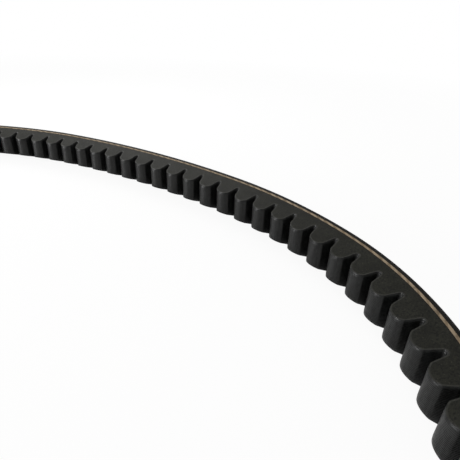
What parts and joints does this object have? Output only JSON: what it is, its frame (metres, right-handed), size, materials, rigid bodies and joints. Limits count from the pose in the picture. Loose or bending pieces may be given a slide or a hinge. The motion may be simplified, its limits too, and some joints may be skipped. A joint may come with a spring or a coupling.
{
  "type": "v belt",
  "caption": "Endless raw-edge V-belt, lying on its side in an open oval loop: moulded cogs inside, a wound tension cord, and a fabric-covered back.",
  "frame": {"origin": "centre of the loop, halfway across the belt's width", "axes": "+X along the loop's long axis, +Y along its short axis, +Z across the belt's width, which is up as the belt lies on its side"},
  "size_m": [0.251, 0.1746, 0.013],
  "materials": {
    "back_fabric": "rubberised woven cover, matt",
    "extension_rubber": "ground matt edge",
    "adhesion_rubber": "ground matt edge",
    "tension_cord": "twisted cord, cut open at the flanks",
    "compression_rubber": "ground matt flank with short fibres",
    "cog_facing_fabric": "rubber-coated stretch fabric, moulded satin"
  },
  "bodies": {
    "root": {"back_fabric": "back_fabric", "extension_rubber": "extension_rubber", "upper_adhesion_rubber": "adhesion_rubber", "lower_adhesion_rubber": "adhesion_rubber", "tension_cord_01": "tension_cord", "tension_cord_02": "tension_cord", "tension_cord_03": "tension_cord", "tension_cord_04": "tension_cord", "tension_cord_05": "tension_cord", "tension_cord_06": "tension_cord", "tension_cord_07": "tension_cord", "tension_cord_08": "tension_cord", "tension_cord_09": "tension_cord", "tension_cord_10": "tension_cord", "tension_cord_11": "tension_cord", "compression_rubber": "compression_rubber", "cog_facing_fabric": "cog_facing_fabric"}
  },
  "joints": []
}
